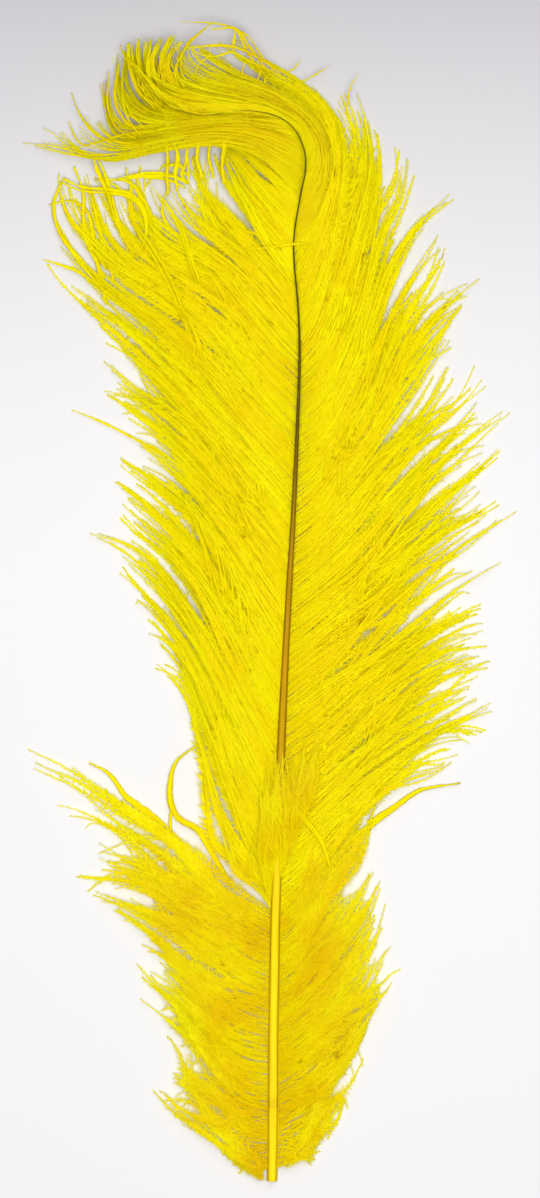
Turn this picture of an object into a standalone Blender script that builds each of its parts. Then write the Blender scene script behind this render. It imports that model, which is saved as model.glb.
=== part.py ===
"""An ostrich wing plume, dyed yellow, lying on its back on a level surface.

The feather grew as one piece. A quill, cut off at its base, runs up the middle, thins out and
hooks over to the left at the top. Soft barbs grow from both its sides and gather in locks,
which arch up beside the quill, come down to the surface and end in points.

Every route below is laid out in millimetres from the cut end of the quill: x to the right,
y up along the feather, z up from the surface. A place along the quill is a distance from the
cut end, measured on the quill itself.
"""

import bpy
import numpy as np

# Driving dimensions, in millimetres
MM = 0.001
CUT_END = (-1.5, -201.0)  # where the cut end lies, seen from the middle of the feather's outline

QUILL_SIDES = 8
QUILL = (  # middle of the quill: x, y, height, radius
    (0, 0, 1.9, 1.9),
    (0, 21, 2.0, 2.0),
    (1, 49, 2.2, 2.0),
    (1, 77, 3.4, 2.0),
    (1, 102, 5.0, 1.9),
    (2, 126, 6.6, 1.75),
    (3, 154, 8.0, 1.55),
    (5, 182, 8.8, 1.3),
    (6, 210, 9.2, 1.1),
    (8, 238, 9.2, 0.9),
    (9, 262, 8.8, 0.8),
    (10, 287, 8.2, 0.7),
    (9, 304, 7.8, 0.7),
    (8, 320, 7.8, 0.7),
    (8, 330, 8.2, 0.7),
    (10, 343, 9.6, 0.7),
    (12, 353, 11.4, 0.7),
    (10, 361, 13.2, 0.7),
    (6, 367, 14.8, 0.7),
    (-1, 371, 16.2, 0.7),
    (-11, 372, 17.2, 0.7),
    (-23, 371, 17.8, 0.7),
    (-34, 373, 18.0, 0.7),
    (-42, 379, 17.8, 0.7),
    (-47, 385, 17.4, 0.7),
    (-50, 391, 17.0, 0.7),
)
QUILL_FLAT = 30  # length at the cut end whose underside lies flat on the surface

RING_SPACING = 18  # between the cross-sections of a lock
ROOT_THICKNESS = 1.3
TIP_THICKNESS = 0.5
WIDEST_LOCK = 16
FULLNESS = 1.2  # a lock's width over the room to its neighbours, so that neighbours overlap
TIP_NARROWING = 0.5  # share of that width lost before the last stretch, which runs to a point
ROOT_BLEND = 0.22  # share of a lock's length in which it turns from along the quill to across itself
SHINGLE = 0.16  # rise of a lock's upper edge over its width, so that each lies over the next
STRAY_WIDTH = 4.5
LEAST_ADVANCE = 0.3  # least that an edge moves on between sections, as a share of the middle's move
DRAW_IN = 0.85  # what is left of a section's width each time that it is drawn in
DRAW_IN_TRIES = 12
ROOT_REACH = 0.5  # most that a lock spreads along the quill, as a share of its first section's length
NARROWEST_ROOT = 0.2  # share of that spread kept by a lock that leaves nearly along the quill
ROOT_SPAN = 0.56  # half of a lock's width along the quill, over the step between two locks
LEAST_HALF_WIDTH = 0.4
LEAST_SECTIONS = 5
TAPER_START = 0.5  # shares of a lock's length between which it narrows
TAPER_END = 0.9
FALL_END = 0.91  # share of a lock's length at which it has come down to its tip's height

QUILL_SECTIONS = 40
QUILL_STEPS = 600  # points on the quill's middle, for finding a place on it
CURVE_STEPS = 12  # points between two given ones on a smooth route

# Each row is one lock: its place along the quill, then the points that its middle runs through.
# The last point is its tip.
LEFT_SKIRT = (
    (4, (-4, 5.5), (-8, 6.5), (-12, 7.5), (-17, 8.5)),
    (7, (-5, 8), (-10, 9.5), (-15, 11), (-21, 14)),
    (11, (-7, 12), (-14, 15), (-22, 19), (-30, 22.5), (-42, 26)),
    (23, (-8, 25), (-16, 28), (-25, 34), (-34, 40), (-46, 48)),
    (37, (-8, 38), (-17, 41), (-25, 48), (-33, 56), (-40, 61), (-50, 65)),
    (45, (-8, 46), (-18, 50), (-26, 57), (-33, 65), (-40, 70), (-49, 76)),
    (61, (-9, 65), (-20, 70), (-31, 78), (-42, 86), (-52, 92), (-60, 96)),
    (69, (-9, 73), (-20, 80), (-32, 88), (-44, 94), (-56, 99), (-67, 103)),
    (83, (-9, 88), (-20, 95), (-32, 103), (-45, 109), (-58, 112), (-71, 117)),
    (89, (-8, 94), (-19, 102), (-31, 110), (-44, 117), (-57, 121), (-72, 124)),
    (94, (-7, 99), (-17, 105), (-29, 114), (-43, 121), (-57, 127), (-70, 131), (-79, 134.5)),
)
LEFT_VANE = (
    (98, (-4, 103), (-12, 114), (-18, 126), (-21.5, 139), (-25, 153), (-30, 168), (-37, 177),
     (-45, 183)),
    (104, (-4, 111), (-11, 123), (-17, 137), (-22, 152), (-27, 168), (-33, 180), (-43, 190)),
    (116, (-3, 124), (-10, 137), (-16, 151), (-21, 165), (-28, 179), (-35, 190), (-45, 201),
     (-57, 211)),
    (128, (-3, 137), (-10, 151), (-17, 166), (-24, 180), (-31, 191), (-38, 201), (-45, 209),
     (-51, 218)),
    (142, (-3, 151), (-11, 166), (-19, 181), (-27, 196), (-35, 209), (-45, 219), (-55, 224),
     (-65, 227)),
    (156, (-2, 165), (-10, 180), (-18, 195), (-27, 209), (-36, 219), (-45, 226), (-53, 236)),
    (170, (-2, 179), (-10, 193), (-19, 208), (-28, 221), (-37, 231), (-46, 239), (-56, 245.5)),
    (184, (-1, 193), (-10, 207), (-19, 221), (-28, 233), (-37, 242), (-46, 249), (-56, 255)),
    (208, (0, 217), (-9, 229), (-18, 241), (-27, 252), (-37, 260), (-47, 267), (-55, 273),
     (-62, 279)),
    (220, (1, 229), (-8, 240), (-17, 251), (-26, 262), (-35, 272), (-43, 281), (-50, 289),
     (-58.5, 296)),
    (235, (1, 243), (-8, 253), (-18, 264), (-28, 275), (-39, 286), (-51, 297), (-65, 307),
     (-75, 315), (-82, 326)),
    (250, (1, 258), (-8, 267), (-18, 278), (-28, 288), (-38, 297), (-48, 304), (-58, 311),
     (-68, 320), (-77, 332)),
    (262, (1, 270), (-8, 280), (-18, 290), (-29, 299), (-40, 306), (-51, 313), (-62, 323),
     (-71, 335), (-75, 350)),
    (272, (1, 280), (-8, 290), (-18, 300), (-29, 308), (-40, 314), (-51, 321), (-60, 332),
     (-65, 344), (-69, 355)),
    (290, (1, 299), (-8, 309), (-17, 317), (-27, 323), (-37, 329), (-44, 337), (-50, 346),
     (-60, 350)),
    (298, (1, 308), (-7, 317), (-16, 326), (-24, 333), (-31, 341), (-35, 349), (-36, 359)),
    (316, (1, 324), (-5, 332), (-11, 340), (-17, 348), (-20, 355), (-21, 361)),
)
LEFT_INNER = (
    (325, (2, 332), (-5, 340), (-10, 347), (-13, 354), (-18, 361)),
    (333, (3, 339), (-4, 347), (-9, 354), (-16, 361), (-25, 364)),
)
BAND = (
    (343, (4, 349), (-6, 358), (-20, 361), (-40, 359), (-56, 356), (-68, 361), (-80, 373)),
    (348, (3, 354), (-8, 361), (-23, 363), (-43, 360), (-57, 357), (-69, 358), (-86, 362)),
    (360, (2, 364), (-11, 367), (-26, 367), (-42, 364), (-53, 365), (-57, 373), (-58, 386)),
    (366, (0, 367), (-13, 369), (-27, 368), (-43, 366), (-53, 364), (-58, 372), (-58, 387)),
    (379, (-9, 371), (-20, 370), (-32, 370), (-43, 374), (-49, 381), (-52, 388), (-52, 396)),
    (389, (-20, 371), (-29, 371), (-37, 374), (-43, 379), (-47, 387), (-48, 397)),
    (410, (-37, 375), (-40, 381), (-42, 388), (-40, 399)),
)
CROWN = (
    (325, (13, 333), (18, 344), (20, 355), (18, 366), (11, 374), (1, 381), (-10, 386), (-20, 392),
     (-28, 397)),
    (334, (14, 341), (18, 351), (18, 361), (13, 370), (3, 377), (-10, 382), (-22, 386),
     (-29, 392), (-27, 399)),
    (354, (15, 359), (12, 367), (3, 373), (-10, 377), (-24, 380), (-34, 385), (-37, 391),
     (-33, 400)),
    (383, (-12, 374), (-23, 375), (-34, 377), (-42, 382), (-46, 389), (-47, 398)),
    (395, (-26, 374), (-36, 376), (-43, 381), (-47, 387), (-49, 396)),
    (418, (-44, 384), (-48, 387), (-51, 391), (-53, 396)),
)
RIGHT_SKIRT = (
    (4, (4, 6), (7, 7.5), (11, 8.5), (17, 9)),
    (7, (5, 9), (9, 11), (13, 13), (19, 12)),
    (11, (7, 13), (12, 16), (17, 20), (22, 23), (28, 24.5)),
    (17, (8, 20), (14, 24), (19, 28), (25, 32), (32, 37)),
    (25, (8, 29), (15, 34), (21, 40), (27, 46), (33, 50)),
    (45, (9, 50), (18, 56), (27, 62), (36, 68), (46, 74)),
    (55, (9, 60), (19, 67), (28, 74), (36, 81), (44, 90)),
    (65, (9, 71), (19, 79), (27, 87), (34, 94), (42, 102)),
    (75, (9, 81), (18, 90), (25, 98), (32, 105), (39, 110)),
    (85, (9, 92), (17, 102), (24, 111), (30, 120), (34, 127), (37, 134)),
    (95, (10, 103), (18, 113), (26, 122), (33, 130), (42, 138)),
)
RIGHT_VANE = (
    (95, (10, 103), (20, 115), (30, 128), (41, 138), (52, 145), (62, 149), (72, 152)),
    (103, (11, 111), (22, 124), (34, 136), (46, 147), (57, 156), (66, 157), (76, 154)),
    (120, (12, 127), (24, 138), (37, 149), (50, 158), (62, 165), (69, 168.5), (75.5, 171)),
    (137, (13, 145), (25, 155), (38, 166), (50, 175), (61, 180), (70, 183), (79.5, 186)),
    (152, (13, 159), (25, 169), (38, 180), (50, 189), (62, 196), (70, 200), (79, 203)),
    (161, (13, 168), (25, 178), (38, 189), (50, 198), (61, 206), (71, 211), (82, 215)),
    (172, (13, 179), (25, 189), (37, 199), (49, 209), (60, 218), (71, 226), (80, 231), (88, 236)),
    (183, (14, 190), (26, 200), (38, 210), (49, 219), (60, 227), (70, 233), (77, 240)),
    (204, (15, 211), (26, 221), (37, 231), (47, 241), (57, 250), (67, 258), (75, 264), (84, 270)),
    (214, (15, 221), (26, 231), (36, 242), (46, 253), (55, 264), (65, 274), (75, 287)),
    (224, (16, 231), (26, 242), (35, 254), (43, 267), (51, 279), (58, 292), (67, 307)),
    (234, (16, 241), (25, 253), (34, 266), (41, 280), (48, 293), (57, 305), (68, 314), (79, 320.5)),
    (244, (16, 251), (25, 263), (33, 277), (39, 291), (45, 304), (52, 317), (58, 330)),
    (255, (17, 262), (25, 275), (32, 290), (37, 305), (42, 319), (51, 333), (67, 346)),
    (266, (17, 273), (24, 286), (30, 301), (35, 317), (39, 332), (45, 345), (46, 364)),
    (276, (17, 283), (24, 297), (29, 312), (33, 328), (37, 344), (38, 358), (35, 370)),
    (286, (16, 294), (22, 308), (27, 323), (31, 339), (34, 354), (33, 368), (29, 385)),
    (306, (14, 315), (19, 328), (23, 342), (25, 355), (24, 367), (18, 377), (8, 386), (-4, 393),
     (-13, 400)),
    (316, (14, 325), (18, 337), (22, 349), (22, 361), (18, 371), (9, 380), (-2, 386), (-12, 393),
     (-22, 402)),
)
COVER = (
    (92, (-4, 104), (-6, 117), (-6, 130), (-8, 144)),
    (100, (3, 109), (1, 122), (1.5, 137), (0, 152)),
    (109, (7, 118), (9, 131), (9, 145), (8, 159)),
)
STRAY = (
    (95, (-10, 101), (-20, 112), (-26, 122), (-33, 127), (-36, 134), (-34, 146), (-25, 153)),
    (93, (-11, 102), (-25, 113), (-38, 124), (-51, 134), (-57, 142), (-64, 146)),
    (93, (10, 101), (22, 110), (33, 122), (44, 131), (52, 136.5), (66, 139)),
)
# Name, rows, height of the arch over the straight fall from quill to tip, heights of the tips in turn
GROUPS = (
    ("left_skirt", LEFT_SKIRT, 3.5, (0.0, 1.2)),
    ("left_vane", LEFT_VANE, 4.5, (0.0, 2.4, 0.8)),
    ("left_inner", LEFT_INNER, 0.5, (2.0,)),
    ("band", BAND, 2.0, (0.0, 3.0, 6.0)),
    ("crown", CROWN, 3.5, (8.0, 12.0)),
    ("right_skirt", RIGHT_SKIRT, 3.5, (0.0, 1.2)),
    ("right_vane", RIGHT_VANE, 4.5, (0.8, 0.0, 2.4)),
    ("cover", COVER, 3.0, (9.5,)),
    ("stray", STRAY, 3.0, (3.0,)),
)


def clear_scene():
    for item in list(bpy.data.objects):
        bpy.data.objects.remove(item, do_unlink=True)


def dyed_barbs():
    """Bright yellow dye on soft, dull barbs."""
    material = bpy.data.materials.new("dyed_barbs")
    material.use_nodes = True
    shader = material.node_tree.nodes["Principled BSDF"]
    shader.inputs["Base Color"].default_value = (0.88, 0.70, 0.01, 1.0)
    shader.inputs["Roughness"].default_value = 0.7
    shader.inputs["Metallic"].default_value = 0.0
    return material


def smooth_route(points, count):
    """Evenly spaced points on the Catmull-Rom curve through the given ones, and the length."""
    points = np.asarray(points, float)
    before = 2 * points[0] - points[1]
    after = 2 * points[-1] - points[-2]
    p = np.vstack([before, points, after])
    u = np.linspace(0, 1, CURVE_STEPS, endpoint=False)[:, None]
    parts = [
        0.5
        * (
            2 * b
            + (c - a) * u
            + (2 * a - 5 * b + 4 * c - d) * u**2
            + (3 * b - a - 3 * c + d) * u**3
        )
        for a, b, c, d in zip(p, p[1:], p[2:], p[3:])
    ]
    fine = np.vstack(parts + [points[-1:]])
    run = np.concatenate([[0], np.cumsum(np.linalg.norm(np.diff(fine, axis=0), axis=1))])
    at = np.linspace(0, run[-1], count)
    even = np.stack([np.interp(at, run, fine[:, k]) for k in range(fine.shape[1])], axis=1)
    return even, run[-1]


def quill_at(place):
    """Middle of the quill and its direction in plan, at a distance from the cut end."""
    fine, length = smooth_route([row[:3] for row in QUILL], QUILL_STEPS)
    run = np.linspace(0, length, len(fine))
    middle = [np.interp(place, run, fine[:, k]) for k in range(3)]
    ahead = [np.interp(place + 1, run, fine[:, k]) for k in range(2)]
    direction = np.array(ahead) - middle[:2]
    return np.array(middle), direction / np.linalg.norm(direction)


def blend(share):
    """0 to 1 with a soft start and end."""
    share = np.clip(share, 0, 1)
    return share * share * (3 - 2 * share)


def closed_mesh(name, rings, tip=None):
    """A mesh of rings of points joined in turn, with both ends closed. A tip closes the last.

    The far half of each ring splits its faces the other way, so that the upper and under side of
    a thin blade bend along the same lines and stay clear of each other.
    """
    count = len(rings[0])
    corners = [tuple(point * MM) for ring in rings for point in ring]
    faces = []
    for k in range(len(rings) - 1):
        for i in range(count):
            a = k * count + i
            b = k * count + (i + 1) % count
            if i < count / 2:
                faces += [(a, b, b + count), (a, b + count, a + count)]
            else:
                faces += [(a, b, a + count), (b, b + count, a + count)]
    last = (len(rings) - 1) * count
    faces += [(0, i + 1, i) for i in range(1, count - 1)]
    if tip is None:
        faces += [(last, last + i, last + i + 1) for i in range(1, count - 1)]
    else:
        corners.append(tuple(tip * MM))
        end = len(corners) - 1
        faces += [(last + i, last + (i + 1) % count, end) for i in range(count)]
    mesh = bpy.data.meshes.new(name)
    mesh.from_pydata(corners, [], faces)
    mesh.validate()
    made = bpy.data.objects.new(name, mesh)
    made.location = (CUT_END[0] * MM, CUT_END[1] * MM, 0)
    bpy.context.scene.collection.objects.link(made)
    return made


def quill():
    """The quill: a tapering tube of flat sides, its underside flat on the surface at the cut end."""
    rings = []
    count = QUILL_SECTIONS
    route, _ = smooth_route([row[:3] for row in QUILL], count)
    stations = smooth_route([row[:2] for row in QUILL], len(QUILL))[1]
    given = [0]
    for a, b in zip(QUILL, QUILL[1:]):
        given.append(given[-1] + np.hypot(b[0] - a[0], b[1] - a[1]))
    places = np.linspace(0, stations, count)
    radii = np.interp(places, np.array(given) * stations / given[-1], [row[3] for row in QUILL])
    angles = -(np.arange(QUILL_SIDES) + 0.5) * 2 * np.pi / QUILL_SIDES - np.pi / 2
    for k, (middle, radius) in enumerate(zip(route, radii)):
        ahead = route[min(k + 1, count - 1)] - route[max(k - 1, 0)]
        across = np.array([ahead[1], -ahead[0], 0]) / np.hypot(ahead[0], ahead[1])
        flat_to_flat = radius * np.cos(np.pi / QUILL_SIDES)
        height = flat_to_flat if places[k] <= QUILL_FLAT else middle[2]
        ring = [
            np.array([middle[0], middle[1], height])
            + across * radius * np.cos(angle)
            + np.array([0, 0, radius * np.sin(angle)])
            for angle in angles
        ]
        rings.append(ring)
    return closed_mesh("feather", rings)


def unfolded(middle, reach):
    """The same reach to both sides, drawn in where a bend would fold an edge back on itself."""
    run = np.diff(middle, axis=0)
    for _ in range(DRAW_IN_TRIES):
        for side in (-1, 1):
            edge = np.diff(middle + side * reach, axis=0)
            folded = np.sum(edge * run, axis=1) < LEAST_ADVANCE * np.sum(run * run, axis=1)
            near = np.append(folded, False) | np.insert(folded, 0, False)
            reach = np.where(near[:, None], DRAW_IN * reach, reach)
    return reach


def lock(name, place, middle, widths, heights, half_span):
    """One lock: a flat, four-sided blade that starts inside the quill and ends in a point.

    middle is its route in plan, widths and heights are its half widths and its height above the
    surface at each point. At the quill its width lies along the quill, over half_span each way,
    and it turns across its own route further out.
    """
    _, along = quill_at(place)
    count = len(middle)
    share = np.linspace(0, 1, count)
    ahead = np.gradient(middle, axis=0)
    step = np.linalg.norm(ahead, axis=1)[0]
    ahead /= np.linalg.norm(ahead, axis=1)[:, None]
    across = np.stack([-ahead[:, 1], ahead[:, 0]], axis=1)
    left_turn = across[0] @ along > 0
    if not left_turn:
        across = -across
    spread = max(across[0] @ along, NARROWEST_ROOT)
    slant = np.clip(ahead[0] @ along, -spread, spread)
    root_reach = min(half_span, ROOT_REACH * step) * (spread * across[0] + slant * ahead[0])
    turn = blend(share / ROOT_BLEND)[:, None]
    reach = unfolded(middle, (1 - turn) * root_reach + turn * across * widths[:, None])
    thick = (ROOT_THICKNESS + (TIP_THICKNESS - ROOT_THICKNESS) * share) / 2
    rings = []
    for k in range(count - 1):
        base = np.array([*middle[k], heights[k]])
        up = np.array([0, 0, thick[k]])
        side = np.array([*reach[k], SHINGLE * np.linalg.norm(reach[k])])
        ring = np.array([base + side, base + up, base - side, base - up])
        if not left_turn:
            ring = ring[::-1]
        ring[:, 2] += max(0.0, -ring[:, 2].min())
        rings.append(ring)
    tip = np.array([*middle[-1], max(heights[-1], thick[-1])])
    return closed_mesh(name, rings, tip)


def group_of_locks(name, rows, arch, tip_heights):
    """The locks of one group, each as wide as the room to its neighbours and tapering to its tip."""
    routes = []
    for place, *points in rows:
        root, _ = quill_at(place)
        length = smooth_route([root[:2], *points], 2)[1]
        routes.append(([root[:2], *points], length))
    made = []
    for i, (place, *_) in enumerate(rows):
        points, length = routes[i]
        count = max(LEAST_SECTIONS, int(round(length / RING_SPACING)) + 1)
        middle, _ = smooth_route(points, count)
        share = np.linspace(0, 1, count)
        room = [
            np.linalg.norm(middle - smooth_route(routes[j][0], count)[0], axis=1)
            for j in (i - 1, i + 1)
            if 0 <= j < len(rows)
        ]
        room = np.minimum(np.mean(room, axis=0), WIDEST_LOCK)
        if name == "stray":
            room = np.full(count, STRAY_WIDTH)
            half_span = STRAY_WIDTH / 2
        else:
            spans = [abs(rows[j][0] - place) for j in (i - 1, i + 1) if 0 <= j < len(rows)]
            half_span = ROOT_SPAN * np.mean(spans)
        narrowing = blend((share - TAPER_START) / (TAPER_END - TAPER_START))
        taper = FULLNESS * (1 - TIP_NARROWING * narrowing)
        widths = np.maximum(room / 2 * taper, LEAST_HALF_WIDTH)
        root_height = quill_at(place)[0][2]
        tip_height = tip_heights[i % len(tip_heights)]
        fall = blend(share / FALL_END)
        heights = root_height + (tip_height - root_height) * fall + arch * np.sin(np.pi * share)
        made.append(lock(f"{name}_{i}", place, middle, widths, heights, half_span))
    return made


def build():
    clear_scene()
    feather = quill()
    feather.data.materials.append(dyed_barbs())
    cutters = bpy.data.collections.new("locks")
    bpy.context.scene.collection.children.link(cutters)
    for name, rows, arch, tip_heights in GROUPS:
        for blade in group_of_locks(name, rows, arch, tip_heights):
            bpy.context.scene.collection.objects.unlink(blade)
            cutters.objects.link(blade)
            blade.hide_render = True
            blade.display_type = "WIRE"
    joined = feather.modifiers.new("locks_grown_on", "BOOLEAN")
    joined.operation = "UNION"
    joined.operand_type = "COLLECTION"
    joined.collection = cutters
    joined.solver = "EXACT"


build()
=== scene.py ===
import bpy
import mathutils
import numpy as np
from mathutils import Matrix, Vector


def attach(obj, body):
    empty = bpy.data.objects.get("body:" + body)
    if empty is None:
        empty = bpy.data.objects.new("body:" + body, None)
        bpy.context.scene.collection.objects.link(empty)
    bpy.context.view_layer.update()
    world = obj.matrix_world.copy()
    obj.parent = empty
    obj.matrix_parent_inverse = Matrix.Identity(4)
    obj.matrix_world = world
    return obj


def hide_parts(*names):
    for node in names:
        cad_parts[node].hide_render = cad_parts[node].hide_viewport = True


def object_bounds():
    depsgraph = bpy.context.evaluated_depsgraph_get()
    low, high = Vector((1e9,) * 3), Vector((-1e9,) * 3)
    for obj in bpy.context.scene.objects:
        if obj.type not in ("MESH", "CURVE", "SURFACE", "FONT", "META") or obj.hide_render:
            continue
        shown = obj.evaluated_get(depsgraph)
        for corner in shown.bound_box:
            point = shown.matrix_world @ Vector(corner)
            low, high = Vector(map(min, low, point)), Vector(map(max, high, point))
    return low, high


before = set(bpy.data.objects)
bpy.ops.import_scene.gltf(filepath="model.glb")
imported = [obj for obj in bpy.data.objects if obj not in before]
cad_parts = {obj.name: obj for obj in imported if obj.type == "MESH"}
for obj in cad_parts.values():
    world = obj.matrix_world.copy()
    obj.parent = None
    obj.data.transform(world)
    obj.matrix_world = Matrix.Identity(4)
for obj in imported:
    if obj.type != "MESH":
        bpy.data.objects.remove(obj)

cad_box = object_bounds()

# Quill
# The feather's shaft: smooth horn, dyed yellow at the cut end and naturally brown to black where
# it thins out. It grew whole, was cut square at the base, and hooks over to the left at the top.

MM = 0.001
CUT_END_X = -1.5  # from the middle of the CAD's box, in millimetres
CUT_END = np.array([CUT_END_X * MM, cad_box[0][1], 0.0])  # the quill's cut end, in the frame

# Middle of the quill, in millimetres from its cut end: x, y, height over the surface, radius
QUILL = (
    (0, 0, 1.9, 1.9),
    (0.3, 21, 2.0, 2.0),
    (0.5, 49, 2.2, 2.0),
    (0.9, 77, 3.4, 2.0),
    (1.4, 101.5, 5.0, 1.9),
    (2.3, 126, 6.6, 1.75),
    (3.3, 154, 8.0, 1.55),
    (4.6, 182, 8.8, 1.3),
    (6.1, 210, 9.2, 1.1),
    (7.7, 238, 9.2, 0.85),
    (8.8, 262.5, 8.8, 0.65),
    (9.6, 287, 8.2, 0.5),
    (9.1, 304.5, 7.8, 0.4),
    (7.7, 320, 7.8, 0.33),
    (7.7, 330, 8.2, 0.3),
    (9.8, 343, 9.6, 0.28),
    (11.7, 353, 11.4, 0.26),
    (10.5, 361, 13.2, 0.24),
    (6.3, 367.5, 14.8, 0.22),
    (-0.7, 371, 16.2, 0.2),
    (-11, 372, 17.2, 0.18),
    (-23.5, 370.5, 17.8, 0.16),
    (-34, 372.8, 18.0, 0.14),
    (-42, 378.7, 17.8, 0.12),
    (-47, 385, 17.4, 0.1),
    (-49.7, 390.6, 17.0, 0.08),
)
QUILL_STEPS = 900  # in which its route is worked out
QUILL_RINGS = 260
QUILL_SIDES = 20
GROOVE_ANGLE = np.radians(58)  # from the crest, to each side of it
GROOVE_WIDTH = np.radians(13)
GROOVE_DEPTH = 0.13  # of the radius

# Rims of the cut end, from its hollow outwards: share of the radius, and millimetres into the quill
CUT_RIMS = (
    (0.45, 1.3),
    (0.62, 1.2),
    (0.66, 0.0),
    (0.93, 0.0),
    (1.0, 0.15),
)

# Colours of the horn along the quill, by the share of its length, and the painted shade in its grooves
HORN_COLOURS = (
    (0.0, (0.68, 0.53, 0.004)),
    (0.24, (0.64, 0.47, 0.003)),
    (0.30, (0.41, 0.26, 0.001)),
    (0.42, (0.36, 0.19, 0.0)),
    (0.50, (0.28, 0.155, 0.0)),
    (0.60, (0.1, 0.058, 0.001)),
    (0.80, (0.03, 0.025, 0.004)),
    (0.92, (0.16, 0.11, 0.004)),
    (1.0, (0.45, 0.33, 0.0)),
)
GROOVE_SHADE_COLOURS = (
    (0.0, (0.3, 0.15, 0.0)),
    (0.3, (0.2, 0.09, 0.0)),
    (0.6, (0.03, 0.015, 0.0)),
    (1.0, (0.25, 0.17, 0.0)),
)
COLLAR_START = (0.057, 0.06)  # a darker ring near the cut end, where it fades in
COLLAR_END = (0.065, 0.07)


def blend(value, start=0.0, end=1.0):
    """0 up to start and 1 from end, soft between: three times the square less twice the cube."""
    share = np.clip((value - start) / (end - start), 0, 1)
    return share * share * (3 - 2 * share)


def smooth_route(points, count):
    """Evenly spaced points on the Catmull-Rom curve through the given ones, and its length.

    Each stretch is the cubic whose slope at a given point is half the step between that point's
    two neighbours.
    """
    in_each = 16
    points = np.asarray(points, float)
    p = np.vstack([2 * points[0] - points[1], points, 2 * points[-1] - points[-2]])
    a, b, c, d = (p[k : len(p) - 3 + k, None] for k in range(4))
    u = np.linspace(0, 1, in_each, endpoint=False)[None, :, None]
    curve = b + 0.5 * u * (
        c - a + u * (2 * a - 5 * b + 4 * c - d + u * (3 * b - a - 3 * c + d))
    )
    fine = np.vstack([curve.reshape(-1, points.shape[1]), points[-1:]])
    run = np.concatenate([[0], np.cumsum(np.linalg.norm(np.diff(fine[:, :2], axis=0), axis=1))])
    at = np.linspace(0, run[-1], count)
    return np.stack([np.interp(at, run, column) for column in fine.T], axis=1), run[-1]


QUILL_LINE, QUILL_LENGTH = smooth_route(QUILL, QUILL_STEPS)


def on_quill(places):
    """x, y, height and radius of the quill at distances from the cut end."""
    run = np.linspace(0, QUILL_LENGTH, QUILL_STEPS)
    return np.stack([np.interp(places, run, column) for column in QUILL_LINE.T], axis=-1)


def triangles(rows, columns):
    """Corner numbers of the triangles between the rows of a grid whose columns close into a ring."""
    a = np.arange((rows - 1) * columns).reshape(rows - 1, columns)
    b = np.roll(a, -1, axis=1)
    return np.concatenate(
        [
            np.stack([a, a + columns, b + columns], axis=-1).reshape(-1, 3),
            np.stack([a, b + columns, b], axis=-1).reshape(-1, 3),
        ]
    )


def make_piece(name, corners, faces, numbers, material):
    """A mesh object in the frame from corners in millimetres from the cut end, with point numbers."""
    mesh = bpy.data.meshes.new(name)
    mesh.vertices.add(len(corners))
    mesh.vertices.foreach_set("co", (corners * MM + CUT_END).ravel())
    mesh.loops.add(faces.size)
    mesh.loops.foreach_set("vertex_index", faces.ravel().astype(np.int32))
    mesh.polygons.add(len(faces))
    mesh.polygons.foreach_set("loop_start", np.arange(0, faces.size, 3, dtype=np.int32))
    mesh.update(calc_edges=True)
    for key, values in numbers.items():
        layer = mesh.attributes.new(key, "FLOAT", "POINT")
        layer.data.foreach_set("value", np.ascontiguousarray(values, dtype=np.float32).ravel())
    mesh.materials.append(material)
    piece = bpy.data.objects.new(name, mesh)
    bpy.context.scene.collection.objects.link(piece)
    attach(piece, "root")
    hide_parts("feather")
    return piece


class Socket:
    """A shader socket that is used like a number: arithmetic on it adds Math nodes."""

    def __init__(self, tree, link):
        self.tree = tree
        self.link = link

    @classmethod
    def of(cls, tree, kind, settings=None, inputs=None, output=0):
        """The output of a new node. Settings are set first, then the inputs' values or links."""
        node = tree.nodes.new(kind)
        for name, value in (settings or {}).items():
            if name == "stops":
                ramp = node.color_ramp.elements
                while len(ramp) < len(value):
                    ramp.new(1.0)
                for stop, (position, colour) in zip(ramp, value):
                    stop.position = position
                    stop.color = (*colour, 1.0)
            else:
                setattr(node, name, value)
        for key, value in (inputs or {}).items():
            if isinstance(value, Socket):
                tree.links.new(value.link, node.inputs[key])
            else:
                node.inputs[key].default_value = value
        return cls(tree, node.outputs[output])

    def math(self, operation, first, second):
        """The output of a Math node on two numbers or sockets."""
        return Socket.of(
            self.tree, "ShaderNodeMath", {"operation": operation}, {0: first, 1: second}
        )

    def __add__(self, other):
        return self.math("ADD", self, other)

    __radd__ = __add__

    def __mul__(self, other):
        return self.math("MULTIPLY", self, other)

    __rmul__ = __mul__

    def __sub__(self, other):
        return self.math("SUBTRACT", self, other)

    def __rsub__(self, other):
        return self.math("SUBTRACT", other, self)

    def step(self, low, high):
        """0 up to low and 1 from high, soft between them."""
        return Socket.of(
            self.tree,
            "ShaderNodeMapRange",
            {"interpolation_type": "SMOOTHSTEP"},
            {"Value": self, "From Min": low, "From Max": high},
        )

    def tint(self, low, high):
        """The colour low at 0 and high at 1."""
        return Socket.of(
            self.tree,
            "ShaderNodeMix",
            {"data_type": "RGBA", "clamp_factor": True},
            {
                0: self,
                6: low if isinstance(low, Socket) else (*low, 1.0),
                7: high if isinstance(high, Socket) else (*high, 1.0),
            },
            output=2,
        )


def number(tree, key):
    """A number that the mesh carries at its points."""
    return Socket.of(tree, "ShaderNodeAttribute", {"attribute_name": key}, output=2)


def noise(tree, scale, stretch=(1, 1, 1)):
    """Cloudy noise on the object's own coordinates, of about 1/scale metres."""
    place = Socket.of(tree, "ShaderNodeTexCoord", output=3)
    placed = Socket.of(tree, "ShaderNodeMapping", None, {"Vector": place, "Scale": stretch})
    return Socket.of(
        tree, "ShaderNodeTexNoise", None, {"Vector": placed, "Scale": scale, "Detail": 3.0}
    )


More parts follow.
